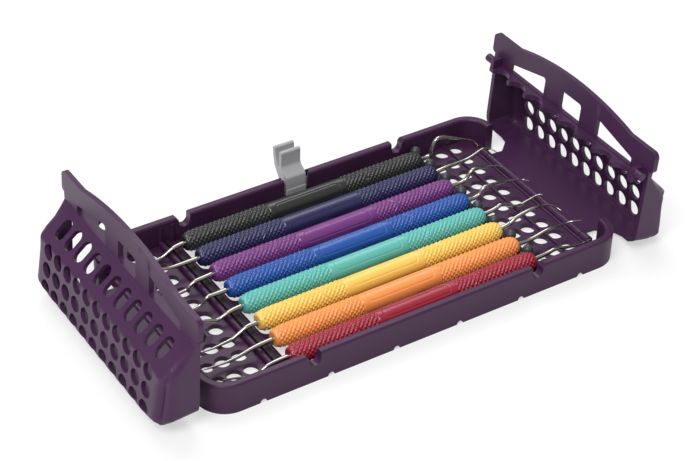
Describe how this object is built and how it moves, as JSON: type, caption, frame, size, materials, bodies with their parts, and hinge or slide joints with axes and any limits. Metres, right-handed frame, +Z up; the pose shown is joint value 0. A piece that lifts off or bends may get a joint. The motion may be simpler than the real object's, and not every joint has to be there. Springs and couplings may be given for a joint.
{
  "type": "dental instrument cassette",
  "caption": "Perforated resin tray with two swing-up perforated end lids, silicone rails, a clip and removable double-ended hand instruments",
  "frame": {"origin": "middle of the tray's underside, on the plane it rests on", "axes": "+Z up, X along the tray and the instruments, +Y toward the side that carries the clip"},
  "size_m": [0.2397, 0.1157, 0.0566],
  "materials": {
    "tray_resin": "satin moulded resin",
    "lid_resin": "satin moulded resin",
    "clip_resin": "satin",
    "silicone_strip": "matt",
    "silicone_fingers": "satin",
    "pin_steel": "drawn wire",
    "instrument_steel": "polished",
    "handle_1_resin": "glossy, knurled",
    "handle_2_resin": "glossy, knurled",
    "handle_3_resin": "glossy, knurled",
    "handle_4_resin": "glossy, knurled",
    "handle_5_resin": "glossy, knurled",
    "handle_6_resin": "glossy, knurled",
    "handle_7_resin": "glossy, knurled",
    "handle_8_resin": "glossy, knurled"
  },
  "bodies": {
    "tray_body": {"tray": "tray_resin", "left_hinge_pin": "pin_steel", "right_hinge_pin": "pin_steel", "left_rail": "silicone_strip", "right_rail": "silicone_fingers"},
    "left_lid_body": {"left_lid": "lid_resin", "left_comb": "lid_resin"},
    "right_lid_body": {"right_lid": "lid_resin", "right_comb": "lid_resin"},
    "clip_body": {"clip": "clip_resin"},
    "instrument_1": {"handle_1": "handle_1_resin", "left_tip_1": "instrument_steel", "right_tip_1": "instrument_steel"},
    "instrument_2": {"handle_2": "handle_2_resin", "left_tip_2": "instrument_steel", "right_tip_2": "instrument_steel"},
    "instrument_3": {"handle_3": "handle_3_resin", "left_tip_3": "instrument_steel", "right_tip_3": "instrument_steel"},
    "instrument_4": {"handle_4": "handle_4_resin", "left_tip_4": "instrument_steel", "right_tip_4": "instrument_steel"},
    "instrument_5": {"handle_5": "handle_5_resin", "left_tip_5": "instrument_steel", "right_tip_5": "instrument_steel"},
    "instrument_6": {"handle_6": "handle_6_resin", "left_tip_6": "instrument_steel", "right_tip_6": "instrument_steel"},
    "instrument_7": {"handle_7": "handle_7_resin", "left_tip_7": "instrument_steel", "right_tip_7": "instrument_steel"},
    "instrument_8": {"handle_8": "handle_8_resin", "left_tip_8": "instrument_steel", "right_tip_8": "instrument_steel"}
  },
  "joints": [
    {"name": "left_lid_hinge", "type": "hinge", "parent": "tray_body", "child": "left_lid_body", "pos_m": [-0.0909, 0, 0.002], "axis": [0, -1, 0], "range_deg": [-87.85, 5.88]},
    {"name": "right_lid_hinge", "type": "hinge", "parent": "tray_body", "child": "right_lid_body", "pos_m": [0.0909, 0, 0.002], "axis": [0, 1, 0], "range_deg": [-93.73, 0]},
    {"name": "clip_slide", "type": "slide", "parent": "tray_body", "child": "clip_body", "axis": [0, 0, 1], "range_m": [0, 0.02]},
    {"name": "instrument_1_lift", "type": "slide", "parent": "tray_body", "child": "instrument_1", "axis": [0, 0, 1], "range_m": [0, 0.04]},
    {"name": "instrument_2_lift", "type": "slide", "parent": "tray_body", "child": "instrument_2", "axis": [0, 0, 1], "range_m": [0, 0.04]},
    {"name": "instrument_3_lift", "type": "slide", "parent": "tray_body", "child": "instrument_3", "axis": [0, 0, 1], "range_m": [0, 0.04]},
    {"name": "instrument_4_lift", "type": "slide", "parent": "tray_body", "child": "instrument_4", "axis": [0, 0, 1], "range_m": [0, 0.04]},
    {"name": "instrument_5_lift", "type": "slide", "parent": "tray_body", "child": "instrument_5", "axis": [0, 0, 1], "range_m": [0, 0.04]},
    {"name": "instrument_6_lift", "type": "slide", "parent": "tray_body", "child": "instrument_6", "axis": [0, 0, 1], "range_m": [0, 0.04]},
    {"name": "instrument_7_lift", "type": "slide", "parent": "tray_body", "child": "instrument_7", "axis": [0, 0, 1], "range_m": [0, 0.04]},
    {"name": "instrument_8_lift", "type": "slide", "parent": "tray_body", "child": "instrument_8", "axis": [0, 0, 1], "range_m": [0, 0.04]}
  ]
}
